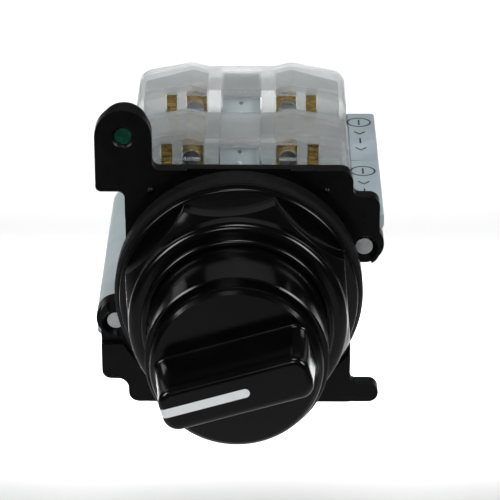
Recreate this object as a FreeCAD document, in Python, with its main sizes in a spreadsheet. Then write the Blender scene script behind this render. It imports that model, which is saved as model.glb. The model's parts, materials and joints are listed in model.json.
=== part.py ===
import FreeCAD, Part
import math
import os
import re
import Sketcher

# Panel selector switch with a lever knob and two contact blocks stacked behind the panel flange.
# Frame: X to the right, Y into the panel (the knob points towards -Y), Z up. The origin is on the axis of
# the threaded bushing, in the front face of the flange plate. All sizes are millimetres and degrees.

SIZES = {
    # flange plate and its ears, seen from the front
    "plate_half": 20.3,
    "plate_top": 22.4,
    "plate_bottom": -23.5,
    "plate_thick": 2.9,
    "seat_radius": 24.2,
    "seat_depth": 0.9,
    "screw_x": 22.45,
    "screw_z": 7.45,
    "ear_reach": 25.1,
    "ear_near": 4.4,
    "ear_far": 17.4,
    "left_ear_top": -3.6,
    "left_ear_bottom": -18.8,
    "groove_top": -10.4,
    "groove_height": 1.5,
    "groove_depth": 1.0,
    "foot_x": 23.65,
    "foot_z": -21.55,
    "foot_radius": 1.85,
    "ground_x": -20.4,
    "ground_z": 28.6,
    "ground_radius": 5.05,
    "ground_foot": 18.3,
    "ground_boss_radius": 4.2,
    "ground_boss_rear": 6.6,
    "ear_boss_radius": 3.6,
    "tapped_radius": 1.6,
    "screw_radius": 1.55,
    "lead_in": 0.45,
    "mark_tip": 0.15,
    "mark_radius": 0.9,
    "mark_proud": 0.35,
    "mark_x": 15.7,
    "mark_z": 18.6,
    # bushing and the mechanism inside it
    "bushing_radius": 14.95,
    "bushing_front": -13.2,
    "bearing_radius": 6.0,
    "seal_seat_radius": 8.2,
    "seal_seat_depth": 2.15,
    "seal_radius": 7.1,
    "seal_thick_radius": 0.98,
    "cavity_radius": 12.5,
    "cavity_front": -6.5,
    "housing_radius": 16.6,
    "housing_rear": 4.7,
    "rear_plate_radius": 14.6,
    "rear_plate_front": 3.2,
    "run_gap": 0.05,
    # gasket and nut
    "gasket_radius": 22.25,
    "gasket_bore": 15.1,
    "gasket_front": -3.9,
    "nut_flange_radius": 21.3,
    "nut_flange_front": -5.8,
    "nut_corner_radius": 20.9,
    "nut_collar_radius": 19.2,
    "nut_collar_front": -16.6,
    "nut_collar_round": 1.3,
    "nut_bead_radius": 16.85,
    "nut_bead_round": 0.6,
    "nut_front": -17.9,
    "nut_turn": 27.0,
    "nut_edge_round": 0.35,
    "nut_dome_radius": 22.2,
    "nut_dome_centre": -2.12,
    "nut_recess_radius": 16.0,
    "nut_recess_rear": -13.4,
    # knob
    "skirt_radius": 15.67,
    "skirt_rear": -13.8,
    "skirt_front": -30.6,
    "step_radius": 14.73,
    "face_radius": 13.9,
    "face_front": -33.5,
    "skirt_wall": 1.6,
    "face_wall": 2.6,
    "hub_radius": 7.2,
    "hub_rear": -15.6,
    "lever_turn": 16.5,
    "lever_front": -43.0,
    "lever_half": 3.85,
    "lever_length": 12.9,
    "lever_base_length": 13.6,
    "lever_foot_half": 7.0,
    "lever_end_round": 2.6,
    "lever_edge_round": 1.1,
    "lever_root_round": 0.6,
    "scoop_radius": 20.0,
    "scoop_y": -41.0,
    "inlay_width": 1.6,
    "inlay_depth": 0.8,
    "inlay_inner": 2.4,
    # shaft, detent, cam
    "shaft_radius": 4.0,
    "shaft_front": -30.5,
    "journal_front": -15.3,
    "clip_front": -14.1,
    "clip_rear": -13.3,
    "clip_groove_radius": 5.3,
    "clip_radius": 7.6,
    "shaft_rear": 2.0,
    "flat_at": 3.0,
    "knob_screw_radius": 1.5,
    "knob_screw_head": 2.7,
    "wheel_radius": 12.1,
    "wheel_front": -6.1,
    "wheel_rear": -3.6,
    "track_radius": 9.5,
    "ball_radius": 1.5,
    "ball_y": -7.45,
    "track_play": 0.2,
    "notch_drop": 0.3,
    "step_angle": 40.0,
    "pocket_front": -11.6,
    "cam_front": -3.5,
    "cam_radius": 10.0,
    "cam_bore": 4.1,
    "cam_mid": 0.2,
    "cam_lead": 1.4324,
    "stop_radius": 0.7,
    "stop_track": 11.45,
    "lug_outer": 12.2,
    "lug_rear": -1.6,
    # contact block, measured from its own front face along Y
    "block_front": 4.9,
    "block_pitch": 25.2,
    "block_depth": 25.1,
    "core_half": 20.3,
    "core_top": 13.0,
    "shelf_reach": 26.1,
    "shelf_bottom": 8.9,
    "shelf_top": 12.0,
    "lug_hole": 1.7,
    "head_recess": 2.95,
    "head_depth": 2.4,
    "channel_half": 3.95,
    "channel_front": 6.4,
    "channel_rear": 23.5,
    "channel_floor": 4.2,
    "plunger_z": 7.0,
    "plunger_radius": 1.6,
    "contact_well_half": 12.6,
    "contact_well_front": 10.2,
    "contact_well_rear": 18.9,
    "contact_well_floor": 8.2,
    # clear cover over the terminals
    "cover_half": 20.0,
    "cover_front": 7.0,
    "cover_rear": 21.4,
    "cover_foot": 13.05,
    "cover_shoulder": 22.4,
    "cover_peak_x": 9.5,
    "cover_peak": 24.45,
    "cover_dip_x": 6.3,
    "cover_dip": 23.6,
    "window_in": 6.55,
    "window_out": 10.55,
    "window_top": 22.5,
    "slot_in": 12.25,
    "slot_out": 14.45,
    "slot_top": 22.7,
    "gate_half": 3.85,
    "gate_top": 22.3,
    "pocket_rear": 19.6,
    "side_out": 18.6,
    "side_top": 20.9,
    "room_dip": 22.5,
    "room_peak": 23.3,
    "cover_wall": 1.3,
    "cover_edge_round": 0.8,
    # terminals and contacts
    "strip_front": 10.3,
    "strip_thick": 0.8,
    "strip_foot": 8.4,
    "strip_top": 22.2,
    "grip_top": 21.9,
    "link_foot": 13.1,
    "link_top": 15.0,
    "tip_x": 8.5,
    "tip_z": 10.5,
    "tip_radius": 1.3,
    "tip_thick": 0.7,
    "gap_at_rest": 1.1,
    "bridge_half": 10.0,
    "bridge_height": 2.6,
    "bridge_thick": 0.8,
    "terminal_x": 8.8,
    "terminal_z": 19.4,
    "terminal_head": 1.65,
    "terminal_shank": 1.0,
    "clamp_thick": 0.7,
    # sliding carrier
    "carrier_half": 3.6,
    "carrier_front": 8.1,
    "carrier_stem": 12.0,
    "carrier_rear": 18.9,
    "carrier_foot": 5.0,
    "carrier_neck": 13.4,
    "carrier_top": 21.9,
    "carrier_window_front": 12.9,
    "carrier_window_rear": 18.0,
    "carrier_window_foot": 8.9,
    "carrier_window_top": 12.1,
    "rest_offset": 1.0,
}

doc = FreeCAD.newDocument("selector_switch")
sheet = doc.addObject("Spreadsheet::Sheet", "sizes")
for row, (alias, number) in enumerate(SIZES.items(), start=1):
    sheet.set("A%d" % row, alias)
    sheet.set("B%d" % row, "%g" % number)
    sheet.setAlias("B%d" % row, alias)
doc.recompute()

ALONG_Y = FreeCAD.Rotation(FreeCAD.Vector(1, 0, 0), -90)
HALF_TURN = FreeCAD.Rotation(FreeCAD.Vector(0, 1, 0), 180)
NO_TURN = FreeCAD.Rotation()
sub_parts = []


def size(alias):
    return float(sheet.get(alias))


def bound(text):
    """Points every alias in a formula at its cell in the sheet."""
    return re.sub(r"[A-Za-z_]\w*", lambda word: "sizes." + word.group(0), text)


def bind(item, prop, text):
    item.setExpression(prop, bound(str(text)))


def placed(item, x, y, z, turn=NO_TURN):
    item.Placement = FreeCAD.Placement(FreeCAD.Vector(0, 0, 0), turn)
    for axis, text in zip("xyz", (x, y, z)):
        bind(item, "Placement.Base." + axis, text)
    return item


def block(x, y, z):
    """A box from (low, high) pairs of formulas along X, Y and Z."""
    item = doc.addObject("Part::Box", "block")
    for prop, (low, high) in zip(("Length", "Width", "Height"), (x, y, z)):
        bind(item, prop, "(%s) - (%s)" % (high, low))
    return placed(item, x[0], y[0], z[0])


def rod(radius, y, x=0, z=0):
    """A cylinder along Y from y[0] to y[1]."""
    item = doc.addObject("Part::Cylinder", "rod")
    bind(item, "Radius", radius)
    bind(item, "Height", "(%s) - (%s)" % (y[1], y[0]))
    return placed(item, x, y[0], z, ALONG_Y)


def cone(front_radius, rear_radius, y, x=0, z=0):
    item = doc.addObject("Part::Cone", "cone")
    bind(item, "Radius1", front_radius)
    bind(item, "Radius2", rear_radius)
    bind(item, "Height", "(%s) - (%s)" % (y[1], y[0]))
    return placed(item, x, y[0], z, ALONG_Y)


def ball(radius, x, y, z):
    item = doc.addObject("Part::Sphere", "ball")
    bind(item, "Radius", radius)
    return placed(item, x, y, z)


def ring(radius, thick_radius, y):
    item = doc.addObject("Part::Torus", "ring")
    bind(item, "Radius1", radius)
    bind(item, "Radius2", thick_radius)
    return placed(item, 0, y, 0, ALONG_Y)


def fuse(*items):
    item = doc.addObject("Part::MultiFuse", "fuse")
    item.Shapes = list(items)
    item.Refine = True
    return item


def cut(base, *tools):
    item = doc.addObject("Part::Cut", "cut")
    item.Base = base
    item.Tool = tools[0] if len(tools) == 1 else fuse(*tools)
    return item


def common(first, second):
    item = doc.addObject("Part::MultiCommon", "common")
    item.Shapes = [first, second]
    return item


def mirror_x(source):
    item = doc.addObject("Part::Mirroring", "mirror")
    item.Source = source
    item.Normal = FreeCAD.Vector(1, 0, 0)
    return item


def group(*items):
    item = doc.addObject("Part::Compound", "group")
    item.Links = list(items)
    return item


def moved(source, y=0, turn=NO_TURN):
    """A copy of a piece, turned about the switch axis and shifted along it."""
    return placed(group(source), 0, y, 0, turn)


def along_y(edge, x, z):
    """True for a straight edge that runs along Y at this x and z."""
    if edge.Curve.TypeId != "Part::GeomLine":
        return False
    ends = [vertex.Point for vertex in edge.Vertexes]
    return all(abs(p.x - x) < 0.02 and abs(p.z - z) < 0.02 for p in ends)


def rounded(base, corners):
    """Rounds the edges along Y that stand at the given (x, z, radius) corners."""
    doc.recompute()
    item = doc.addObject("Part::Fillet", "rounded")
    item.Base = base
    chosen = []
    for number, edge in enumerate(base.Shape.Edges, start=1):
        for x, z, radius in corners:
            if along_y(edge, x, z):
                chosen.append((number, radius, radius))
    if len(chosen) < len(corners):
        raise RuntimeError("a corner to round was not found on " + base.Name)
    item.Edges = chosen
    return item


def softened(base, radius, wanted):
    """Rounds every edge for which wanted(edge) is true."""
    doc.recompute()
    item = doc.addObject("Part::Fillet", "softened")
    item.Base = base
    item.Edges = [
        (number, radius, radius) for number, edge in enumerate(base.Shape.Edges, start=1) if wanted(edge)
    ]
    return item


def sketched_body(name, role, points):
    """A body with one closed outline of straight lines through points given as pairs of formulas."""
    body = doc.addObject("PartDesign::Body", name + "_body")
    sketch = body.newObject("Sketcher::SketchObject", name + "_outline")
    plane = [item for item in body.Origin.OriginFeatures if item.Role == role][0]
    sketch.AttachmentSupport = (plane, "")
    sketch.MapMode = "FlatFace"
    places = [FreeCAD.Vector(number_of(u), number_of(v), 0) for u, v in points]
    count = len(points)
    for index in range(count):
        sketch.addGeometry(Part.LineSegment(places[index], places[(index + 1) % count]), False)
    for index in range(count):
        sketch.addConstraint(Sketcher.Constraint("Coincident", index, 2, (index + 1) % count, 1))
    for index, corner in enumerate(points):
        for kind, axis, text, value in zip(("DistanceX", "DistanceY"), (-2, -1), corner, places[index]):
            if str(text) == "0":
                sketch.addConstraint(Sketcher.Constraint("PointOnObject", index, 1, axis))
            else:
                made = sketch.addConstraint(Sketcher.Constraint(kind, -1, 1, index, 1, value))
                sketch.setExpression("Constraints[%d]" % made, bound(str(text)))
    doc.recompute()
    return body, sketch


def number_of(text):
    """The value of a formula of aliases and numbers, worked out by the sheet."""
    cell = "D1"
    sheet.set(cell, "=" + str(text))
    sheet.recompute()
    return float(sheet.get(cell))


def turned(name, points):
    """A solid of revolution about Y from (radius, y) corners."""
    body, sketch = sketched_body(name, "XY_Plane", points)
    feature = body.newObject("PartDesign::Revolution", name + "_turned")
    feature.Profile = sketch
    feature.ReferenceAxis = (sketch, ["V_Axis"])
    feature.Angle = 360
    doc.recompute()
    return body


def extruded(name, points, start, length):
    """A prism along Y from (x, z) corners, from y = start on."""
    body, sketch = sketched_body(name, "XZ_Plane", points)
    feature = body.newObject("PartDesign::Pad", name + "_pad")
    feature.Profile = sketch
    bind(feature, "Length", length)
    feature.Reversed = True
    doc.recompute()
    return placed(body, 0, start, 0)


def spring(radius, wire_radius, y, z):
    """The envelope of a compression spring along Y: a sleeve as thick as its wire."""
    return cut(rod("%s + %s" % (radius, wire_radius), y, 0, z),
               rod("%s - %s" % (radius, wire_radius), (y[0] + " - 1", y[1] + " + 1"), 0, z))


def keep(item, label):
    """Names a finished piece: the label is its node and its file."""
    item.Label = label
    sub_parts.append(item)
    return item


# ---- operator body: flange plate, ears, bushing and the bores of the mechanism

def operator_body():
    thick = ("0", "plate_thick")
    plate = block(("-plate_half", "plate_half"), thick, ("plate_bottom", "plate_top"))
    ground_ear = block(("ground_x - ground_radius", "ground_x + ground_radius"), thick,
                       ("ground_foot", "ground_z"))
    ground_round = rod("ground_radius", thick, "ground_x", "ground_z")
    right_ear = block(("plate_half - 1", "ear_reach"), thick, ("ear_near", "ear_far"))
    left_ear = block(("-ear_reach", "1 - plate_half"), thick, ("left_ear_bottom", "left_ear_top"))
    foot = block(("plate_half - 1", "foot_x"), thick, ("foot_z - foot_radius", "foot_z + foot_radius"))
    foot_round = rod("foot_radius", thick, "foot_x", "foot_z")
    outline = fuse(plate, ground_ear, ground_round, right_ear, left_ear, foot, foot_round)

    edge, ear, top, bottom = size("plate_half"), size("ear_reach"), size("plate_top"), size("plate_bottom")
    ground_left = size("ground_x") - size("ground_radius")
    ground_right = size("ground_x") + size("ground_radius")
    foot_top = size("foot_z") + size("foot_radius")
    outline = rounded(outline, [
        (edge, top, 2.3), (edge, size("ear_far"), 1.3), (ear, size("ear_far"), 1.9),
        (ear, size("ear_near"), 2.1), (edge, size("ear_near"), 2.1), (edge, foot_top, 1.0),
        (ground_left, size("ground_foot"), 1.0), (-edge, size("ground_foot"), 1.2),
        (ground_right, top, 1.4), (-ear, size("left_ear_top"), 2.1), (-edge, size("left_ear_top"), 2.1),
        (-ear, size("left_ear_bottom"), 1.6), (-edge, size("left_ear_bottom"), 2.0), (-edge, bottom, 1.9),
    ])
    seat = rod("seat_radius", ("-1", "seat_depth"))
    groove = block(("-ear_reach - 1", "-plate_half + 1.2"), ("-1", "groove_depth"),
                   ("groove_top - groove_height", "groove_top"))
    flange = cut(outline, seat, groove)

    ground_boss = rod("ground_boss_radius", ("plate_thick - 1", "ground_boss_rear"), "ground_x", "ground_z")
    ground_web = block(("ground_x - ground_boss_radius", "ground_x + ground_boss_radius"),
                       ("plate_thick - 1", "ground_boss_rear"), ("ground_foot + 1.5", "ground_z"))
    bushing = rod("bushing_radius", ("bushing_front", "plate_thick"))
    housing = rod("housing_radius", ("plate_thick - 1", "housing_rear"))
    ear_bosses = [
        rod("ear_boss_radius", ("plate_thick - 1", "housing_rear"), "%s * screw_x" % side,
            "%s * screw_z" % side)
        for side in ("1", "-1")
    ]
    marks = [
        cone("mark_tip", "mark_radius", ("-mark_proud", "mark_proud"), x, "mark_z")
        for x in ("-mark_x", "mark_x")
    ]
    solid = fuse(flange, ground_boss, ground_web, bushing, housing, *ear_bosses, *marks)

    bores = [
        rod("bearing_radius", ("bushing_front - 1", "housing_rear + 1")),
        rod("seal_seat_radius", ("bushing_front - 1", "bushing_front + seal_seat_depth")),
        rod("cavity_radius", ("cavity_front", "housing_rear + 1")),
        rod("rear_plate_radius + run_gap", ("rear_plate_front", "housing_rear + 1")),
        rod("tapped_radius", ("-1", "ground_boss_rear + 1"), "ground_x", "ground_z"),
        cone("tapped_radius + lead_in", "tapped_radius", ("0", "lead_in"), "ground_x", "ground_z"),
    ]
    for side in ("1", "-1"):
        x, z = "%s * screw_x" % side, "%s * screw_z" % side
        bores.append(rod("tapped_radius", ("-1", "housing_rear + 1"), x, z))
        bores.append(cone("tapped_radius + lead_in + 0.4", "tapped_radius",
                          ("0", "seat_depth + lead_in"), x, z))
        bores.append(rod("ball_radius + run_gap", ("pocket_front", "cavity_front + 1"),
                         "%s * track_radius" % side))
    return keep(cut(solid, *bores), "operator_body")


# ---- gasket and retaining nut

def panel_gasket():
    body = turned("panel_gasket", [
        ("gasket_bore", "gasket_front"), ("gasket_radius - 0.5", "gasket_front"),
        ("gasket_radius", "gasket_front + 0.5"), ("gasket_radius", "seat_depth - 0.5"),
        ("gasket_radius - 0.5", "seat_depth"), ("gasket_bore", "seat_depth"),
    ])
    return keep(body, "panel_gasket")


def nut_step(radius, front, rounding):
    """One rounded step of the turned front of the nut."""
    step = rod(radius, (front, "nut_flange_front"))
    return softened(step, size(rounding), lambda edge: edge.BoundBox.YMax < size(front) + 0.1)


def is_facet_edge(edge):
    """True for the edges between the flats of the nut and from a flat to the domed front."""
    box = edge.BoundBox
    return box.YMax > size("nut_collar_front") + 2 * size("nut_collar_round") and box.YLength > 0.1


def retaining_nut():
    prism = doc.addObject("Part::Prism", "octagon")
    prism.Polygon = 8
    bind(prism, "Circumradius", "nut_corner_radius")
    bind(prism, "Height", "nut_flange_front - nut_collar_front - nut_collar_round")
    turn = ALONG_Y.multiply(FreeCAD.Rotation(FreeCAD.Vector(0, 0, 1), -size("nut_turn")))
    placed(prism, 0, "nut_collar_front + nut_collar_round", 0, turn)
    octagon = common(prism, ball("nut_dome_radius", 0, "nut_dome_centre", 0))
    octagon = softened(octagon, size("nut_edge_round"), is_facet_edge)
    flange = rod("nut_flange_radius", ("nut_flange_front", "gasket_front"))
    flange = softened(flange, 0.5, lambda edge: edge.BoundBox.YMax < size("nut_flange_front") + 0.1
                      and edge.Curve.TypeId == "Part::GeomCircle")
    collar = nut_step("nut_collar_radius", "nut_collar_front", "nut_collar_round")
    bead = nut_step("nut_bead_radius", "nut_front", "nut_bead_round")
    nut = cut(
        fuse(octagon, flange, collar, bead),
        rod("bushing_radius + run_gap", ("nut_front - 1", "gasket_front + 1")),
        rod("nut_recess_radius", ("nut_front - 1", "nut_recess_rear")),
    )
    return keep(nut, "retaining_nut")


# ---- knob with its lever, inlay and fixing screw

def knob():
    skirt = turned("knob_skirt", [
        ("shaft_radius + run_gap", "hub_rear"), ("hub_radius", "hub_rear"),
        ("hub_radius", "face_front + face_wall"),
        ("skirt_radius - skirt_wall", "face_front + face_wall"),
        ("skirt_radius - skirt_wall", "skirt_rear"), ("skirt_radius - 0.4", "skirt_rear"),
        ("skirt_radius", "skirt_rear - 0.4"), ("skirt_radius", "skirt_front + 0.25"),
        ("skirt_radius - 0.25", "skirt_front"), ("step_radius", "skirt_front"),
        ("step_radius", "skirt_front - 2.0"), ("step_radius - 0.25", "skirt_front - 2.5"),
        ("face_radius", "face_front"), ("shaft_radius + run_gap", "face_front"),
    ])
    # the lever stands across the face; it is built along X and turned about the switch axis
    wedge = doc.addObject("Part::Wedge", "lever")
    for prop, text in (
        ("Xmin", "-lever_length"), ("Xmax", "lever_length"),
        ("Zmin", "-lever_foot_half"), ("Zmax", "lever_foot_half"),
        ("X2min", "-lever_base_length"), ("X2max", "lever_base_length"),
        ("Z2min", "-lever_foot_half"), ("Z2max", "lever_foot_half"),
        ("Ymin", "lever_front"), ("Ymax", "shaft_front - 0.5"),
    ):
        bind(wedge, prop, text)
    scoops = []
    for side in ("1", "-1"):
        scoop = doc.addObject("Part::Cylinder", "scoop")
        bind(scoop, "Radius", "scoop_radius")
        scoop.Height = 60
        scoops.append(placed(scoop, -30, "scoop_y", "%s * (lever_half + scoop_radius)" % side,
                             FreeCAD.Rotation(FreeCAD.Vector(0, 1, 0), 90)))
    lever = cut(wedge, *scoops)
    doc.recompute()
    front = size("lever_front")
    lever = softened(lever, size("lever_end_round"), lambda edge: along_ends(edge, size("lever_length")))
    lever = softened(lever, size("lever_edge_round"), lambda edge: edge.BoundBox.YMax < front + 0.05)
    inlay_slot = block(("-lever_length - 2", "inlay_inner - inlay_width / 2"),
                       ("lever_front - 1", "lever_front + inlay_depth"),
                       ("-inlay_width / 2", "inlay_width / 2"))
    inlay_end = rod("inlay_width / 2", ("lever_front - 1", "lever_front + inlay_depth"),
                    "inlay_inner - inlay_width / 2")
    inlay_room = fuse(inlay_slot, inlay_end)
    turn = FreeCAD.Rotation(FreeCAD.Vector(0, 1, 0), -size("lever_turn"))
    inlay = keep(moved(common(lever, inlay_room), turn=turn), "knob_indicator")
    lever = moved(cut(lever, inlay_room), turn=turn)
    shaft_room = fuse(rod("shaft_radius + run_gap", ("shaft_front - 0.2", "skirt_rear + 1")),
                      rod("knob_screw_radius", ("shaft_front - 6", "shaft_front")))
    grip = softened(fuse(skirt, lever), size("lever_root_round"), is_lever_root)
    return keep(cut(grip, shaft_room), "knob"), inlay


def is_lever_root(edge):
    """True for the two long straight edges where the sides of the lever meet the face of the knob."""
    box = edge.BoundBox
    flat = box.YLength < 0.01 and abs(box.YMin - size("face_front")) < 0.01
    return flat and edge.Curve.TypeId == "Part::GeomLine" and edge.Length > size("lever_length")


def along_ends(edge, reach):
    """True for the four edges that bound the two ends of the lever."""
    box = edge.BoundBox
    return min(abs(box.XMin), abs(box.XMax)) > reach - 0.1 and box.YLength > 5


def knob_screw():
    shank = rod("knob_screw_radius", ("shaft_front - 5", "shaft_rear"))
    head = rod("knob_screw_head", ("shaft_rear", "shaft_rear + 1.2"))
    slot = block(("-3", "3"), ("shaft_rear + 0.6", "shaft_rear + 2"), ("-0.35", "0.35"))
    return keep(cut(fuse(shank, head), slot), "knob_screw")


# ---- shaft, seal, clip, detent and cam

def selector_shaft():
    body = turned("selector_shaft", [
        ("knob_screw_radius + run_gap", "shaft_front"), ("shaft_radius", "shaft_front"),
        ("shaft_radius", "journal_front"), ("bearing_radius - run_gap", "journal_front"),
        ("bearing_radius - run_gap", "clip_front"), ("clip_groove_radius", "clip_front"),
        ("clip_groove_radius", "clip_rear"), ("bearing_radius - run_gap", "clip_rear"),
        ("bearing_radius - run_gap", "wheel_front"), ("shaft_radius", "wheel_front"),
        ("shaft_radius", "shaft_rear"), ("knob_screw_radius + run_gap", "shaft_rear"),
    ])
    flats = [
        block(("-6", "6"), ("shaft_front - 1", "journal_front - 1"), ("flat_at", "6")),
        block(("-6", "6"), ("wheel_front", "shaft_rear + 1"), ("flat_at", "6")),
    ]
    return keep(cut(body, *flats), "selector_shaft")


def shaft_seal():
    return keep(ring("seal_radius", "seal_thick_radius", "bushing_front + seal_thick_radius + 0.1"),
                "shaft_seal")


def shaft_clip():
    washer = cut(rod("clip_radius", ("clip_front", "clip_rear")),
                 rod("clip_groove_radius", ("clip_front - 1", "clip_rear + 1")),
                 block(("-2.2", "2.2"), ("clip_front - 1", "clip_rear + 1"), ("0", "10")))
    return keep(washer, "shaft_clip")


def detent_wheel():
    wheel = cut(
        rod("wheel_radius", ("wheel_front", "wheel_rear")),
        rod("shaft_radius + run_gap", ("wheel_front - 1", "wheel_rear + 1")),
        ring("track_radius", "ball_radius + track_play", "ball_y"),
    )
    notches = []
    for opposite in (0, 180):
        for stop in (-1, 0, 1, 2):
            turn = math.radians(opposite + stop * size("step_angle"))
            notch = ball("ball_radius + track_play", 0, "ball_y + notch_drop", 0)
            bind(notch, "Placement.Base.x", "track_radius * %.6f" % math.cos(turn))
            bind(notch, "Placement.Base.z", "track_radius * %.6f" % math.sin(turn))
            notches.append(notch)
    return keep(cut(wheel, *notches), "detent_wheel")


def detent_balls():
    balls = [ball("ball_radius", "%s * track_radius" % side, "ball_y", 0) for side in ("1", "-1")]
    return keep(group(*balls), "detent_balls")


def detent_springs():
    one = spring("ball_radius - 0.35", "0.2", ("pocket_front", "ball_y - 1.2"), 0)
    springs = [placed(group(one), "%s * track_radius" % side, 0, 0) for side in ("1", "-1")]
    return keep(group(*springs), "detent_springs")


def ramp_half(start_angle, start_height, end_height):
    """Half a turn of the cam, a little oversize: its height changes evenly with the angle."""
    inner, outer, foot = size("cam_bore") - 1, size("cam_radius") + 1, size("cam_front")
    sections = 12
    outlines = []
    for index in range(sections + 1):
        share = index / sections
        turn = math.radians(start_angle + 180 * share)
        height = start_height + (end_height - start_height) * share
        corners = [
            FreeCAD.Vector(radius * math.cos(turn), y, radius * math.sin(turn))
            for radius, y in ((inner, foot), (outer, foot), (outer, height), (inner, height))
        ]
        outlines.append(Part.makePolygon(corners + corners[:1]))
    return Part.makeLoft(outlines, True, False)


def selector_cam():
    """A face cam of two even ramps: one follower rises as the opposite one falls."""
    lowest_angle = 20
    low = size("cam_mid") - size("cam_lead") * math.radians(90 - lowest_angle)
    high = low + size("cam_lead") * math.pi
    ramps = doc.addObject("Part::Feature", "ramps")
    ramps.Shape = ramp_half(lowest_angle, low, high).fuse(ramp_half(lowest_angle + 180, high, low))
    trimmed = common(ramps, rod("cam_radius", ("cam_front - 1", "housing_rear")))
    free_angle = 2 * math.degrees(math.asin((size("stop_radius") + size("run_gap")) / size("stop_track")))
    lug = doc.addObject("Part::Cylinder", "stop_lug")
    bind(lug, "Radius", "lug_outer")
    bind(lug, "Height", "lug_rear - cam_front")
    lug.Angle = 360 - 3 * size("step_angle") - free_angle
    start = 2 * size("step_angle") + free_angle / 2
    spin = ALONG_Y.multiply(FreeCAD.Rotation(FreeCAD.Vector(0, 0, 1), -start - lug.Angle.Value))
    placed(lug, 0, "cam_front", 0, spin)
    bore = rod("cam_bore", ("cam_front - 1", "housing_rear"))
    return keep(cut(fuse(trimmed, lug), bore), "selector_cam")


def rear_plate():
    plate = rod("rear_plate_radius", ("rear_plate_front", "housing_rear"))
    holes = [rod("plunger_radius + run_gap", ("rear_plate_front - 1", "housing_rear + 1"), 0, z)
             for z in ("plunger_z", "-plunger_z")]
    screw_room = rod("knob_screw_head + 0.5", ("rear_plate_front - 1", "housing_rear + 1"))
    stop_hole = rod("stop_radius", ("rear_plate_front - 1", "housing_rear + 1"), "stop_track")
    return keep(cut(plate, *holes, screw_room, stop_hole), "rear_plate")


def stop_pin():
    return keep(rod("stop_radius", ("cam_front + 0.1", "housing_rear"), "stop_track"), "stop_pin")


def cam_follower(label, z, rest):
    """A push pin with a domed tip that rests on the cam and pushes the first carrier."""
    tip = "cam_mid + 0.12 + plunger_radius + %s" % rest
    pin = rod("plunger_radius", (tip, "block_front + 0.08 + %s" % rest), 0, z)
    return keep(fuse(pin, ball("plunger_radius", 0, tip, z)), label)


# ---- screws of the operator

def ground_screw():
    head_rear = "ground_boss_rear + 2.4"
    shank = rod("screw_radius", ("0.6", "ground_boss_rear"), "ground_x", "ground_z")
    head = rod("3.1", ("ground_boss_rear", head_rear), "ground_x", "ground_z")
    slot = block(("ground_x - 4", "ground_x + 4"), ("ground_boss_rear + 1.2", "ground_boss_rear + 4"),
                 ("ground_z - 0.45", "ground_z + 0.45"))
    return keep(cut(fuse(shank, head), slot), "ground_screw")


def mounting_screws():
    seat = "block_front + block_pitch + block_depth - head_depth"
    screws = []
    for side in ("1", "-1"):
        x, z = "%s * screw_x" % side, "%s * screw_z" % side
        shank = rod("screw_radius", ("seat_depth + 0.05", seat), x, z)
        head = rod("head_recess - 0.25", (seat, seat + " + head_depth - 0.3"), x, z)
        cross = [
            block((x + " - 2", x + " + 2"), (seat + " + 1", seat + " + 4"), (z + " - 0.4", z + " + 0.4")),
            block((x + " - 0.4", x + " + 0.4"), (seat + " + 1", seat + " + 4"), (z + " - 2", z + " + 2")),
        ]
        screws.append(cut(fuse(shank, head), *cross))
    return keep(group(*screws), "mounting_screws")


# ---- one contact block: each piece is built once and copied to its other places

def at(local):
    return "block_front + (%s)" % local


def span(low, high):
    return (at(low), at(high))


def block_base():
    core = block(("-core_half", "core_half"), span("0", "block_depth"), ("-core_top", "core_top"))
    core_edge, core_high = size("core_half"), size("core_top")
    core = rounded(core, [(core_edge, core_high, 0.8), (-core_edge, -core_high, 0.8),
                          (-core_edge, core_high, 0.8), (core_edge, -core_high, 0.8)])
    lug = fuse(
        rod("ear_boss_radius", span("0", "block_depth"), "screw_x", "screw_z"),
        block(("core_half - 1", "screw_x"), span("0", "block_depth"),
              ("screw_z - ear_boss_radius", "screw_z + ear_boss_radius")),
        rounded(
            block(("core_half - 1", "shelf_reach"), span("0", "block_depth"), ("shelf_bottom", "shelf_top")),
            [(size("shelf_reach"), size("shelf_bottom"), 1.2), (size("shelf_reach"), size("shelf_top"), 0.4)],
        ),
    )
    tools = []
    for turn in (NO_TURN, HALF_TURN):
        room = fuse(
            block(("-channel_half", "channel_half"), span("channel_front", "channel_rear"),
                  ("channel_floor", "core_top + 1")),
            block(("-contact_well_half", "contact_well_half"), span("contact_well_front", "contact_well_rear"),
                  ("contact_well_floor", "core_top + 1")),
            rod("plunger_radius + run_gap", span("-1", "block_depth + 1"), 0, "plunger_z"),
            rod("lug_hole", span("-1", "block_depth + 1"), "screw_x", "screw_z"),
            rod("head_recess", span("block_depth - head_depth", "block_depth + 1"), "screw_x", "screw_z"),
        )
        tools.append(moved(room, turn=turn))
    return cut(fuse(core, lug, moved(lug, turn=HALF_TURN)), *tools)


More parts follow.
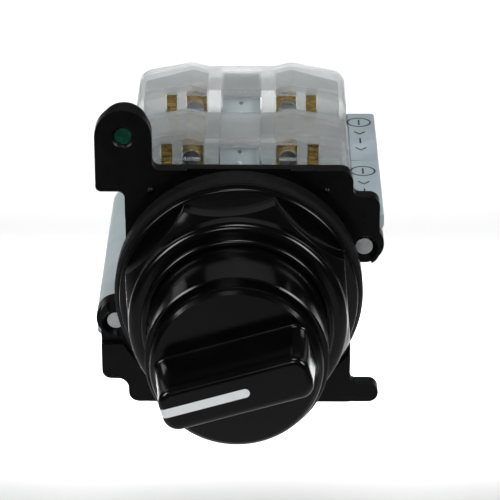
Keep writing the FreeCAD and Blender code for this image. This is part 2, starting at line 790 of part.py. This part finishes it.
def block_cover():
    half = [("cover_half", "cover_foot"), ("cover_half", "cover_shoulder"),
            ("cover_peak_x", "cover_peak"), ("cover_dip_x", "cover_dip")]
    outline = half + [("-" + x, z) for x, z in reversed(half)]
    shell = extruded("cover", outline, at("cover_front"), "cover_rear - cover_front")
    corners = []
    for side in (1, -1):
        corners += [(side * size("cover_half"), size("cover_shoulder"), 3.0),
                    (side * size("cover_peak_x"), size("cover_peak"), 4.0),
                    (side * size("cover_dip_x"), size("cover_dip"), 3.0)]
    shell = rounded(shell, corners)
    shell = softened(shell, size("cover_edge_round"), is_cover_rim)
    depth = span("cover_front + cover_wall", "pocket_rear")
    pockets = [block(("-gate_half", "gate_half"), span("cover_front - 1", "cover_rear + 1"),
                     ("core_top - 1", "gate_top"))]
    for sign in ("", "-"):
        room = [(sign + "window_in", "core_top - 1"), (sign + "window_in", "room_dip"),
                (sign + "cover_peak_x", "room_peak"), (sign + "side_out", "side_top"),
                (sign + "side_out", "core_top - 1")]
        pockets.append(extruded("room", room, depth[0], "(%s) - (%s)" % (depth[1], depth[0])))
        for inner, outer, top in (("window_in", "window_out", "window_top"), ("slot_in", "slot_out", "slot_top")):
            low, high = sorted((sign + inner, sign + outer), key=number_of)
            pockets.append(block((low, high), span("cover_front - 1", "cover_front + cover_wall + 1"),
                                 ("core_top - 1", top)))
    return cut(shell, *pockets)


def is_cover_rim(edge):
    """True for the edges around the front and rear faces of a cover, apart from its foot."""
    box = edge.BoundBox
    return box.YLength < 0.01 and box.ZMax > size("cover_foot") + 0.1


def contact_strip():
    """The brass strip of the right-hand upper terminal: contact leg, link and gripping leg."""
    depth = span("strip_front", "strip_front + strip_thick")
    leg = block(("window_in + 0.1", "window_out - 0.1"), depth, ("strip_foot", "strip_top"))
    link = block(("window_out - 0.5", "slot_out - 0.1"), depth, ("link_foot", "link_top"))
    grip = block(("slot_in + 0.1", "slot_out - 0.1"), depth, ("link_foot", "grip_top"))
    ribs = []
    for index in range(7):
        foot = "link_top + 0.5 + %g" % (index * 0.95)
        ribs.append(block(("slot_in + 0.35", "slot_out - 0.35"), span("strip_front - 0.35", "strip_front + 0.1"),
                          (foot, foot + " + 0.45")))
    hole = rod("terminal_shank", span("strip_front - 1", "strip_front + 2"), "terminal_x", "terminal_z")
    return cut(fuse(leg, link, grip, *ribs), hole)


def terminal_clamp():
    y = span("strip_front - clamp_thick - 0.05", "strip_front - 0.05")
    plate = block(("window_in + 0.15", "window_out - 0.15"), y, ("terminal_z - 2.4", "terminal_z + 2.4"))
    return cut(plate, rod("terminal_shank", span("strip_front - 3", "strip_front + 1"), "terminal_x",
                          "terminal_z"))


def terminal_screw():
    seat = "strip_front - clamp_thick - 0.05"
    head = rod("terminal_head", span(seat + " - 1.5", seat), "terminal_x", "terminal_z")
    shank = rod("terminal_shank - run_gap", span(seat, "strip_front + 4"), "terminal_x", "terminal_z")
    slot = block(("terminal_x - 3", "terminal_x + 3"), span(seat + " - 3", seat + " - 0.8"),
                 ("terminal_z - 0.3", "terminal_z + 0.3"))
    return cut(fuse(head, shank), slot)


def contact_tip(front):
    return rod("tip_radius", span(front, front + " + tip_thick"), "tip_x", "tip_z")


def carrier():
    stem = block(("-carrier_half", "carrier_half"), span("carrier_stem", "carrier_rear"),
                 ("carrier_foot", "carrier_neck + 1"))
    crown = block(("-carrier_half", "carrier_half"), span("carrier_front", "carrier_rear"),
                  ("carrier_neck", "carrier_top"))
    crown = softened(crown, 0.5, lambda edge: edge.BoundBox.ZMin > size("carrier_top") - 0.1)
    pin = rod("plunger_radius", span("0.1", "block_pitch"), 0, "plunger_z")
    stud = ball("0.45", 0, at("carrier_front"), "carrier_top - 3.4")
    dimple = rod("0.4", span("carrier_front - 1", "carrier_front + 0.6"), 0, "carrier_top - 1.2")
    window = block(("-carrier_half - 1", "carrier_half + 1"),
                   span("carrier_window_front", "carrier_window_rear"),
                   ("carrier_window_foot", "carrier_window_top"))
    return cut(fuse(stem, crown, pin, stud), window, dimple)


def bridge():
    front = "strip_front + strip_thick + tip_thick + gap_at_rest + tip_thick"
    return block(("-bridge_half", "bridge_half"), span(front, front + " + bridge_thick"),
                 ("tip_z - bridge_height / 2", "tip_z + bridge_height / 2"))


def contact_block_pieces():
    """The sub-parts of the front and the rear block, by looping over the places of each piece."""
    strip = contact_strip()
    clamp = terminal_clamp()
    screw = terminal_screw()
    fixed_tip = contact_tip("strip_front + strip_thick")
    moving_tip = contact_tip("strip_front + strip_thick + tip_thick + gap_at_rest")
    bar = bridge()
    bridge_rear = "strip_front + strip_thick + tip_thick + gap_at_rest + tip_thick + bridge_thick"
    pressing = spring("1.25", "0.25", span(bridge_rear, "carrier_window_rear"), "tip_z")
    label = block(("core_half + 0.5", "shelf_reach - 0.3"), span("0.3", "block_depth - 0.3"),
                  ("shelf_top", "shelf_top + 0.25"))
    base, cover, slider = block_base(), block_cover(), carrier()
    returning = {
        "upper": spring("2.3", "0.3", span("carrier_rear", "channel_rear"), "plunger_z"),
        "lower": spring("2.3", "0.3", span("carrier_rear + rest_offset", "channel_rear"), "plunger_z"),
    }
    for place, shift in (("front", "0"), ("rear", "block_pitch")):
        keep(moved(base, shift), place + "_block_base")
        keep(group(moved(label, shift), moved(label, shift, HALF_TURN)), place + "_block_labels")
        for name, one in (("contact_strips", strip), ("terminal_clamps", clamp),
                          ("terminal_screws", screw), ("fixed_contact_tips", fixed_tip)):
            pair = group(one, mirror_x(one))
            keep(group(moved(pair, shift), moved(pair, shift, HALF_TURN)), place + "_" + name)
        for level, turn, offset in (("upper", NO_TURN, "0"), ("lower", HALF_TURN, "rest_offset")):
            at_rest = "%s + %s" % (shift, offset)
            name = place + "_" + level + "_"
            keep(moved(cover, shift, turn), name + "cover")
            keep(moved(slider, at_rest, turn), name + "carrier")
            keep(moved(bar, at_rest, turn), name + "bridge")
            keep(moved(group(moving_tip, mirror_x(moving_tip)), at_rest, turn), name + "bridge_tips")
            keep(moved(pressing, at_rest, turn), name + "contact_spring")
            keep(moved(returning[level], shift, turn), name + "return_spring")


def main():
    operator_body()
    panel_gasket()
    retaining_nut()
    knob()
    knob_screw()
    selector_shaft()
    shaft_seal()
    shaft_clip()
    detent_wheel()
    detent_balls()
    detent_springs()
    selector_cam()
    rear_plate()
    stop_pin()
    cam_follower("cam_follower_upper", "plunger_z", "0")
    cam_follower("cam_follower_lower", "-plunger_z", "rest_offset")
    ground_screw()
    mounting_screws()
    contact_block_pieces()
    doc.recompute()
    write_pieces()


def write_pieces():
    """Checks every object and every piece, then writes one STEP file for each."""
    failed = [item.Name for item in doc.Objects if {"Invalid", "Error"} & set(item.State)]
    if failed:
        raise RuntimeError("objects that failed: " + ", ".join(failed))
    for item in sub_parts:
        if item.Shape.isNull() or not item.Shape.isValid() or item.Shape.Volume <= 0:
            raise RuntimeError("no valid shape: " + item.Label)
    os.makedirs("parts", exist_ok=True)
    for item in sub_parts:
        item.Shape.exportStep("parts/%s.step" % item.Label)
        box = item.Shape.BoundBox
        print("%-30s %2d solids %9.1f mm3  y %.2f to %.2f" % (
            item.Label, len(item.Shape.Solids), item.Shape.Volume, box.YMin, box.YMax))


main()
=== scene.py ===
"""Looks for the panel selector switch: materials, fine edges, springs, print, light and camera.

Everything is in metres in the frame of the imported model: X right, Y into the panel, Z up, with the origin
on the axis of the bushing in the front face of the flange plate.
"""

import json
import math

import bpy
from mathutils import Matrix, Vector


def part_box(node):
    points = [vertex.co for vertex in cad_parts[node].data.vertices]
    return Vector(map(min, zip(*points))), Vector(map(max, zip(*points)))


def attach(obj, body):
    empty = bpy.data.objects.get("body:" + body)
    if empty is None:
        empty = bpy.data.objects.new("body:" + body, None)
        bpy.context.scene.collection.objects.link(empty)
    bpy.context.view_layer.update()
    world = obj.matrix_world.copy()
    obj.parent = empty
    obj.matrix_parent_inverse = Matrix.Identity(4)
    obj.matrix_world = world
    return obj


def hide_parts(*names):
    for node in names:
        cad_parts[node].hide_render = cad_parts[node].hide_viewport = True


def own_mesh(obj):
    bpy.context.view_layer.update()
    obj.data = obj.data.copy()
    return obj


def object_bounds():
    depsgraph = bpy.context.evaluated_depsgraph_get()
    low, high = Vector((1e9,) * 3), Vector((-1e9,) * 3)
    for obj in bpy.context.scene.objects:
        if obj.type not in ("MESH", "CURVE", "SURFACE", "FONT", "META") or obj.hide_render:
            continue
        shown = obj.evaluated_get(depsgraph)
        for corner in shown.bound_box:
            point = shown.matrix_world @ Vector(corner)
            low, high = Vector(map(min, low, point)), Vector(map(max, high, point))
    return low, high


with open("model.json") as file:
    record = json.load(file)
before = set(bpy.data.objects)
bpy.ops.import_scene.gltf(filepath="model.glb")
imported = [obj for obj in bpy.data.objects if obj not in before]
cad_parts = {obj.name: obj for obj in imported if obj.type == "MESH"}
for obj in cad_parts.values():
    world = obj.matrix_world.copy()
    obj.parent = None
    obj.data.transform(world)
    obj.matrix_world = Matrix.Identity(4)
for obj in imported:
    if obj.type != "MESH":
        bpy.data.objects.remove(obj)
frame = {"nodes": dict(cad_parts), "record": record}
CAD_BOX = [list(corner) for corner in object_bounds()]
NODES = frame["nodes"]
MM = 0.001

# camera: height above the horizon and swing to the right in degrees, distance and aim in metres
CAMERA_RISE = 24.1
CAMERA_SWING = 0.5
CAMERA_DISTANCE = 0.45
AIM_RIGHT = 0.00198
AIM_UP = 0.00644
CAMERA_LENS = 179.75
SENSOR_WIDTH = 36
NEAREST, FARTHEST = 0.01, 20

# studio lights: name, place, aim, panel size, spread of the beam in degrees, power in watts
LIGHTS = (
    ("floor_far", (0, 0.46, 0.5), (0, 0.46, 0), (0.36, 0.5), 26, 0.6),
    ("floor_near", (0, 0.14, 0.45), (0, 0.14, 0), (0.36, 0.06), 12, 0.3),
    ("side_left", (-0.6, -0.36, 0.42), (0, 0, 0), (0.3, 0.4), 40, 0.26),
    ("side_right", (0.6, -0.36, 0.42), (0, 0, 0), (0.3, 0.4), 40, 0.26),
    ("front", (-0.08, -0.62, 0.4), (0, 0, 0), (0.4, 0.3), 24, 0.04),
    ("top", (0.0, -0.12, 0.7), (0, 0.01, 0), (0.4, 0.25), 30, 0.08),
    ("rear", (0.02, 0.9, 0.33), (0, 0, 0), (0.62, 0.34), 60, 0.0074),
    ("rear_left", (-0.55, 0.4, 0.5), (0, 0, 0), (0.22, 0.3), 60, 0.05),
    ("rear_right", (0.55, 0.4, 0.45), (0, 0, 0), (0.22, 0.3), 60, 0.04),
    ("low_left", (-0.5, 0.75, 0.1), (0, 0, 0), (0.3, 0.2), 60, 0.006),
    ("low_right", (0.5, 0.75, 0.1), (0, 0, 0), (0.3, 0.2), 60, 0.004),
)
WORLD_STRENGTH = 0.04

# floor: how far it lies below the part, how far it reaches each way, its grey and its gloss
FLOOR_DROP = 0.06
FLOOR_REACH = 3.0
FLOOR_GREY = 0.93
FLOOR_ROUGHNESS = 0.9
FLOOR_SPECULAR = 0.1

# print on a label: its middle from the label's outer edge, line widths and lengths, and where each mark
# lies along the label from its front end
LABEL_MIDDLE = 2.9 * MM
PRINT_LINE = 0.32 * MM
PRINT_RISE = 0.03 * MM
RING_RADIUS = 2.4 * MM
RING_PIECES = 28
RING_AT = 19.6 * MM
BAR_LENGTH = 2.6 * MM
BAR_AT = 9.8 * MM
CHEVRON_LENGTH = 1.7 * MM
CHEVRON_HALF = 0.5 * MM
CHEVRON_SLANT = 0.9
CHEVRONS_AT = (13.9 * MM, 5.6 * MM)

# coil springs: radius of the wire and number of turns, sides of the wire and steps in one turn,
# turns that lie closed at each end, and how much steeper the open turns run in the middle
CONTACT_WIRE, CONTACT_TURNS = 0.25 * MM, 4.0
RETURN_WIRE, RETURN_TURNS = 0.3 * MM, 3.6
DETENT_WIRE, DETENT_TURNS = 0.2 * MM, 5.0
DETENT_WIDTH = 2.7 * MM
WIRE_SIDES = 10
STEPS_PER_TURN = 28
CLOSED_TURNS = 0.7
OPEN_SLANT = 0.12

PLACES = ("front", "rear")
LEVELS = ("upper", "lower")


# ---- materials

NOISE_ROUGHNESS = 0.55
CLEAR_INDEX = 1.32
CLEAR_SHARE = 0.45


def new_material(name):
    """A new material with its node tree and its main shader."""
    material = bpy.data.materials.new(name)
    material.use_nodes = True
    tree = material.node_tree
    return material, tree, tree.nodes["Principled BSDF"]


def object_noise(tree, scale, detail=4.0, stretch=(1, 1, 1)):
    """A noise texture in object space, optionally stretched along an axis."""
    place = tree.nodes.new("ShaderNodeTexCoord")
    mapping = tree.nodes.new("ShaderNodeMapping")
    mapping.inputs["Scale"].default_value = stretch
    noise = tree.nodes.new("ShaderNodeTexNoise")
    noise.inputs["Scale"].default_value = scale
    noise.inputs["Detail"].default_value = detail
    noise.inputs["Roughness"].default_value = NOISE_ROUGHNESS
    tree.links.new(place.outputs["Object"], mapping.inputs["Vector"])
    tree.links.new(mapping.outputs["Vector"], noise.inputs["Vector"])
    return noise.outputs["Fac"]


def between(tree, factor, low, high):
    """A number that follows a noise from low to high."""
    spread = tree.nodes.new("ShaderNodeMapRange")
    spread.inputs["From Min"].default_value = 0.3
    spread.inputs["From Max"].default_value = 0.7
    spread.inputs["To Min"].default_value = low
    spread.inputs["To Max"].default_value = high
    tree.links.new(factor, spread.inputs["Value"])
    return spread.outputs["Result"]


def two_tone(tree, factor, first, second):
    """A colour that follows a noise from the first colour to the second."""
    ramp = tree.nodes.new("ShaderNodeValToRGB")
    ramp.color_ramp.elements[0].position = 0.35
    ramp.color_ramp.elements[1].position = 0.65
    ramp.color_ramp.elements[0].color = (*first, 1)
    ramp.color_ramp.elements[1].color = (*second, 1)
    tree.links.new(factor, ramp.inputs["Fac"])
    return ramp.outputs["Color"]


def add_bump(tree, shader, height, distance):
    """Fine relief that follows a noise, this many metres deep."""
    bump = tree.nodes.new("ShaderNodeBump")
    bump.inputs["Distance"].default_value = distance
    bump.inputs["Strength"].default_value = 1.0
    tree.links.new(height, bump.inputs["Height"])
    tree.links.new(bump.outputs["Normal"], shader.inputs["Normal"])


def solid_material(name, tones, roughness, metallic=0.0, grain=900, bump=0.0, stretch=(1, 1, 1), **sockets):
    """A surface with two close colours, uneven gloss and a fine bump, all from object-space noise."""
    material, tree, shader = new_material(name)
    broad = object_noise(tree, grain * 0.25, stretch=stretch)
    fine = object_noise(tree, grain * 4, detail=2.0, stretch=stretch)
    tree.links.new(two_tone(tree, broad, *tones), shader.inputs["Base Color"])
    tree.links.new(between(tree, broad, *roughness), shader.inputs["Roughness"])
    shader.inputs["Metallic"].default_value = metallic
    for socket, value in sockets.items():
        shader.inputs[socket.replace("_", " ")].default_value = value
    if bump:
        add_bump(tree, shader, fine, bump)
    return material


def clear_material(name):
    """Clear moulded plastic, a little milky: mostly see-through, partly a soft white body."""
    material, tree, shader = new_material(name)
    shader.inputs["Base Color"].default_value = (0.86, 0.88, 0.88, 1)
    shader.inputs["Transmission Weight"].default_value = 1.0
    shader.inputs["IOR"].default_value = CLEAR_INDEX
    haze = object_noise(tree, 160)
    tree.links.new(between(tree, haze, 0.06, 0.16), shader.inputs["Roughness"])
    milk = tree.nodes.new("ShaderNodeBsdfDiffuse")
    milk.inputs["Color"].default_value = (0.76, 0.78, 0.78, 1)
    see_through = tree.nodes.new("ShaderNodeBsdfTransparent")
    see_through.inputs["Color"].default_value = (0.78, 0.79, 0.79, 1)
    lighten = tree.nodes.new("ShaderNodeMixShader")
    lighten.inputs["Fac"].default_value = CLEAR_SHARE
    tree.links.new(shader.outputs["BSDF"], lighten.inputs[1])
    tree.links.new(see_through.outputs["BSDF"], lighten.inputs[2])
    cloud = tree.nodes.new("ShaderNodeMixShader")
    tree.links.new(between(tree, haze, 0.15, 0.23), cloud.inputs["Fac"])
    tree.links.new(lighten.outputs["Shader"], cloud.inputs[1])
    tree.links.new(milk.outputs["BSDF"], cloud.inputs[2])
    output = tree.nodes["Material Output"]
    tree.links.new(cloud.outputs["Shader"], output.inputs["Surface"])
    return material


MATERIALS = {
    "black_casting": solid_material(
        "black_casting", ((0.0012, 0.0012, 0.0012), (0.0022, 0.0022, 0.0021)), (0.26, 0.38), grain=1400,
        bump=0.00003, Specular_IOR_Level=0.16),
    "gasket_rubber": solid_material(
        "gasket_rubber", ((0.0016, 0.002, 0.0016), (0.0045, 0.0052, 0.0044)), (0.36, 0.6), grain=1700,
        bump=0.0003, Specular_IOR_Level=0.2),
    "seal_rubber": solid_material(
        "seal_rubber", ((0.014, 0.014, 0.014), (0.02, 0.02, 0.02)), (0.4, 0.5), bump=0.00002),
    "black_plastic": solid_material(
        "black_plastic", ((0.0013, 0.0013, 0.0016), (0.0022, 0.0022, 0.0026)), (0.1, 0.17), grain=500,
        bump=0.000004, Specular_IOR_Level=0.34),
    "white_inlay": solid_material(
        "white_inlay", ((0.80, 0.84, 0.85), (0.88, 0.91, 0.92)), (0.4, 0.52), bump=0.00002),
    "zinc_steel": solid_material(
        "zinc_steel", ((0.58, 0.60, 0.62), (0.74, 0.76, 0.78)), (0.22, 0.4), metallic=1.0,
        grain=2200, bump=0.00003),
    "spring_steel": solid_material(
        "spring_steel", ((0.42, 0.42, 0.43), (0.55, 0.55, 0.56)), (0.25, 0.35), metallic=1.0, bump=0.00001),
    "natural_plastic": solid_material(
        "natural_plastic", ((0.66, 0.64, 0.57), (0.72, 0.7, 0.63)), (0.4, 0.5), bump=0.00002),
    "green_screw": solid_material(
        "green_screw", ((0.0, 0.055, 0.032), (0.01, 0.12, 0.07)), (0.25, 0.4), metallic=0.6,
        grain=2600, bump=0.00006),
    "grey_housing": solid_material(
        "grey_housing", ((0.49, 0.56, 0.58), (0.54, 0.60, 0.62)), (0.34, 0.46), grain=700, bump=0.00002,
        Subsurface_Weight=0.05),
    "label_card": solid_material(
        "label_card", ((0.44, 0.53, 0.58), (0.48, 0.57, 0.61)), (0.42, 0.55), bump=0.00001),
    "brass": solid_material(
        "brass", ((0.62, 0.42, 0.13), (0.80, 0.60, 0.26)), (0.2, 0.38), metallic=1.0, grain=1800,
        bump=0.00003, stretch=(1, 1, 3)),
    "silver": solid_material(
        "silver", ((0.78, 0.78, 0.77), (0.9, 0.9, 0.89)), (0.2, 0.34), metallic=1.0, grain=2400,
        bump=0.00002),
    "clear_cover": clear_material("clear_cover"),
    "print_ink": solid_material(
        "print_ink", ((0.02, 0.022, 0.025), (0.035, 0.037, 0.04)), (0.5, 0.6), bump=0.00001),
}

SLOT_OF_NODE = {part["node"]: part["material_slot"] for part in frame["record"]["subparts"]}


def paint(piece, slot_name):
    """Gives a piece one material, by the name of its slot."""
    piece.data.materials.clear()
    piece.data.materials.append(MATERIALS[slot_name])


# fine edges: reach of the weld in metres, and angles in degrees below which faces count as one flat,
# from which an edge is rounded, and from which it stays crisp on a smooth piece
FINE_EDGE = 0.06 * MM
WELD_REACH = 0.000002
FLAT_ANGLE = 1.0
ROUNDED_ANGLE = 38
CRISP_ANGLE = 24


def finish_edges(piece, width):
    """Merges the flat triangles of a CAD mesh and gives its sharp edges a small rounding."""
    weld = piece.modifiers.new("weld", "WELD")
    weld.merge_threshold = WELD_REACH
    flats = piece.modifiers.new("flats", "DECIMATE")
    flats.decimate_type = "DISSOLVE"
    flats.angle_limit = math.radians(FLAT_ANGLE)
    bevel = piece.modifiers.new("bevel", "BEVEL")
    bevel.width = width
    bevel.segments = 2
    bevel.limit_method = "ANGLE"
    bevel.angle_limit = math.radians(ROUNDED_ANGLE)
    bevel.use_clamp_overlap = True
    bevel.harden_normals = False
    normals = piece.modifiers.new("normals", "WEIGHTED_NORMAL")
    normals.keep_sharp = True
    for polygon in piece.data.polygons:
        polygon.use_smooth = True


# pieces whose curved edges are already rounded in the CAD keep their own mesh
SMOOTH_NODES = ("retaining_nut", "knob", "knob_indicator", "panel_gasket", "shaft_seal", "detent_balls",
                "detent_wheel", "selector_cam", "front_upper_cover", "front_lower_cover", "rear_upper_cover",
                "rear_lower_cover")
EDGE_WIDTH = {
    "operator_body": 0.28 * MM,
    "front_block_base": 0.2 * MM,
    "rear_block_base": 0.2 * MM,
}


def smooth_by_angle(piece):
    """Shades curved faces smooth and keeps sharper edges crisp."""
    for polygon in piece.data.polygons:
        polygon.use_smooth = True
    split = piece.modifiers.new("crisp", "EDGE_SPLIT")
    split.split_angle = math.radians(CRISP_ANGLE)
    split.use_edge_sharp = False


for node_name, node in NODES.items():
    paint(node, SLOT_OF_NODE[node_name])
    if node_name in SMOOTH_NODES:
        smooth_by_angle(node)
    else:
        finish_edges(node, EDGE_WIDTH.get(node_name, FINE_EDGE))


# ---- springs: real coils in place of the plain sleeves

def mesh_piece(name, verts, faces, slot_name, body):
    """A new smooth mesh that rides on a body."""
    mesh = bpy.data.meshes.new(name)
    mesh.from_pydata([tuple(v) for v in verts], [], faces)
    mesh.validate()
    for polygon in mesh.polygons:
        polygon.use_smooth = True
    piece = bpy.data.objects.new(name, mesh)
    bpy.context.scene.collection.objects.link(piece)
    paint(piece, slot_name)
    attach(piece, body)
    return piece


def coil_piece(name, box, wire, turns, slot_name, body):
    """A compression spring along Y that fills a box, with closed end turns."""
    low, high = box
    centre_x, centre_z = (low[0] + high[0]) / 2, (low[2] + high[2]) / 2
    radius = (high[0] - low[0]) / 2 - wire
    start, travel = low[1] + wire, high[1] - low[1] - 2 * wire
    steps = int(STEPS_PER_TURN * turns)
    end_share = CLOSED_TURNS / turns
    verts, faces = [], []
    for step in range(steps + 1):
        share = step / steps
        rise = min(max((share - end_share) / (1 - 2 * end_share), 0), 1)
        rise = rise + (share - 0.5) * OPEN_SLANT if 0 < rise < 1 else rise
        turn = 2 * math.pi * turns * share
        y = start + travel * min(max(rise, 0), 1)
        for side in range(WIRE_SIDES):
            around = 2 * math.pi * side / WIRE_SIDES
            reach = radius + wire * math.cos(around)
            verts.append((centre_x + reach * math.cos(turn), y + wire * math.sin(around),
                          centre_z + reach * math.sin(turn)))
    for step in range(steps):
        for side in range(WIRE_SIDES):
            a, b = step * WIRE_SIDES + side, step * WIRE_SIDES + (side + 1) % WIRE_SIDES
            faces.append((a, b, b + WIRE_SIDES, a + WIRE_SIDES))
    faces.append(tuple(reversed(range(WIRE_SIDES))))
    faces.append(tuple(range(steps * WIRE_SIDES, (steps + 1) * WIRE_SIDES)))
    piece = mesh_piece(name, verts, faces, slot_name, body)
    return piece


def springs():
    """Contact, return and detent coils."""
    for place in PLACES:
        for level in LEVELS:
            stem = "%s_%s_" % (place, level)
            inner = coil_piece(stem + "contact_coil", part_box(stem + "contact_spring"), CONTACT_WIRE,
                               CONTACT_TURNS, "spring_steel", level + "_plungers")
            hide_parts(stem + "contact_spring")
            sleeve = stem + "return_spring"
            outer = coil_piece(stem + "return_coil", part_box(sleeve), RETURN_WIRE, RETURN_TURNS,
                               "spring_steel", "operator")
            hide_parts(sleeve)
            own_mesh(outer)
    low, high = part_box("detent_springs")
    coils = []
    for number, x in enumerate((low[0], high[0] - DETENT_WIDTH), start=1):
        box = (Vector((x, low[1], low[2])), Vector((x + DETENT_WIDTH, high[1], high[2])))
        coils.append(coil_piece("detent_coil_%d" % number, box, DETENT_WIRE, DETENT_TURNS,
                                "spring_steel", "operator"))
    for piece in coils:
        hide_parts("detent_springs")


springs()


# ---- generic print on the labels

def flat_marks(name, outlines, height, body, slot_name):
    """Thin raised print: each outline is a list of (x, y) corners at this height above the origin."""
    verts, faces = [], []
    for outline in outlines:
        first = len(verts)
        count = len(outline)
        verts += [(x, y, height) for x, y in outline]
        verts += [(x, y, height + PRINT_RISE) for x, y in outline]
        faces.append(tuple(first + count + i for i in range(count)))
        faces.append(tuple(first + i for i in reversed(range(count))))
        for i in range(count):
            j = (i + 1) % count
            faces.append((first + i, first + j, first + count + j, first + count + i))
    piece = mesh_piece(name, verts, faces, slot_name, body)
    for polygon in piece.data.polygons:
        polygon.use_smooth = False


def bar(x, y, length, width, turn=0.0):
    """The corners of a printed bar about its centre."""
    c, s = math.cos(turn), math.sin(turn)
    along, across = length / 2, width / 2
    corners = ((-along, -across), (along, -across), (along, across), (-along, across))
    return [(x + u * c - v * s, y + u * s + v * c) for u, v in corners]


def ring_marks(x, y, radius, width):
    """A printed ring as short wedges."""
    wedges = []
    for index in range(RING_PIECES):
        a, b = 2 * math.pi * index / RING_PIECES, 2 * math.pi * (index + 1) / RING_PIECES
        wedges.append([
            (x + r * math.cos(t), y + r * math.sin(t))
            for r, t in ((radius - width, a), (radius, a), (radius, b), (radius - width, b))
        ])
    return wedges


def label_print():
    """A ring, two bars and two chevrons on the top of each label."""
    low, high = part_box("front_block_labels")
    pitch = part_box("rear_block_labels")[0][1] - low[1]
    middle = high[0] - LABEL_MIDDLE
    for number, place in enumerate(PLACES):
        start = low[1] + number * pitch
        marks = ring_marks(middle, start + RING_AT, RING_RADIUS, PRINT_LINE)
        marks.append(bar(middle, start + RING_AT, PRINT_LINE, BAR_LENGTH))
        marks.append(bar(middle, start + BAR_AT, PRINT_LINE, BAR_LENGTH))
        for side in (-1, 1):
            for chevron_at in CHEVRONS_AT:
                marks.append(bar(middle + side * CHEVRON_HALF, start + chevron_at, CHEVRON_LENGTH,
                                 PRINT_LINE, side * CHEVRON_SLANT))
        flat_marks(place + "_label_print", marks, high[2], "operator", "print_ink")


label_print()


# ---- floor, light and camera

def soft_light(name, place, aim, size, spread, power):
    """A rectangular studio light with a grid that keeps its beam narrow."""
    light = bpy.data.lights.new(name, "AREA")
    light.shape = "RECTANGLE"
    light.size, light.size_y = size
    light.spread = math.radians(spread)
    light.energy = power
    lamp = bpy.data.objects.new(name, light)
    lamp.location = place
    lamp.rotation_euler = (Vector(aim) - Vector(place)).to_track_quat("-Z", "Y").to_euler()
    bpy.context.scene.collection.objects.link(lamp)


def stage_and_light():
    """A near-white floor below the part, a dim white world and the studio lights."""
    floor_mesh = bpy.data.meshes.new("floor")
    drop, reach = CAD_BOX[0][2] - FLOOR_DROP, FLOOR_REACH
    floor_mesh.from_pydata(
        [(-reach, -reach, drop), (reach, -reach, drop), (reach, reach, drop), (-reach, reach, drop)], [],
        [(0, 1, 2, 3)])
    floor = bpy.data.objects.new("floor", floor_mesh)
    bpy.context.scene.collection.objects.link(floor)
    material, _, shader = new_material("floor")
    shader.inputs["Base Color"].default_value = (FLOOR_GREY, FLOOR_GREY, FLOOR_GREY, 1)
    shader.inputs["Roughness"].default_value = FLOOR_ROUGHNESS
    shader.inputs["Specular IOR Level"].default_value = FLOOR_SPECULAR
    floor_mesh.materials.append(material)

    world = bpy.data.worlds.new("studio")
    bpy.context.scene.world = world
    world.use_nodes = True
    backdrop = world.node_tree.nodes["Background"]
    backdrop.inputs["Color"].default_value = (1, 1, 1, 1)
    backdrop.inputs["Strength"].default_value = WORLD_STRENGTH

    for name, place, aim, panel, spread, power in LIGHTS:
        soft_light(name, place, aim, panel, spread, power)


def add_camera():
    """The main camera, aimed from in front and above."""
    rise, swing = math.radians(CAMERA_RISE), math.radians(CAMERA_SWING)
    back = Vector((math.sin(swing) * math.cos(rise), -math.cos(swing) * math.cos(rise), math.sin(rise)))
    right = Vector((math.cos(swing), math.sin(swing), 0))
    up = back.cross(right)
    data = bpy.data.cameras.new("camera")
    data.lens = CAMERA_LENS
    data.sensor_width = SENSOR_WIDTH
    data.clip_start = NEAREST
    data.clip_end = FARTHEST
    camera = bpy.data.objects.new("camera", data)
    turn = Matrix((right, up, back)).transposed().to_4x4()
    place = back * CAMERA_DISTANCE + right * AIM_RIGHT + up * AIM_UP
    camera.matrix_world = Matrix.Translation(place) @ turn
    bpy.context.scene.collection.objects.link(camera)
    bpy.context.scene.camera = camera


stage_and_light()
add_camera()
bpy.context.scene.view_settings.view_transform = "Standard"
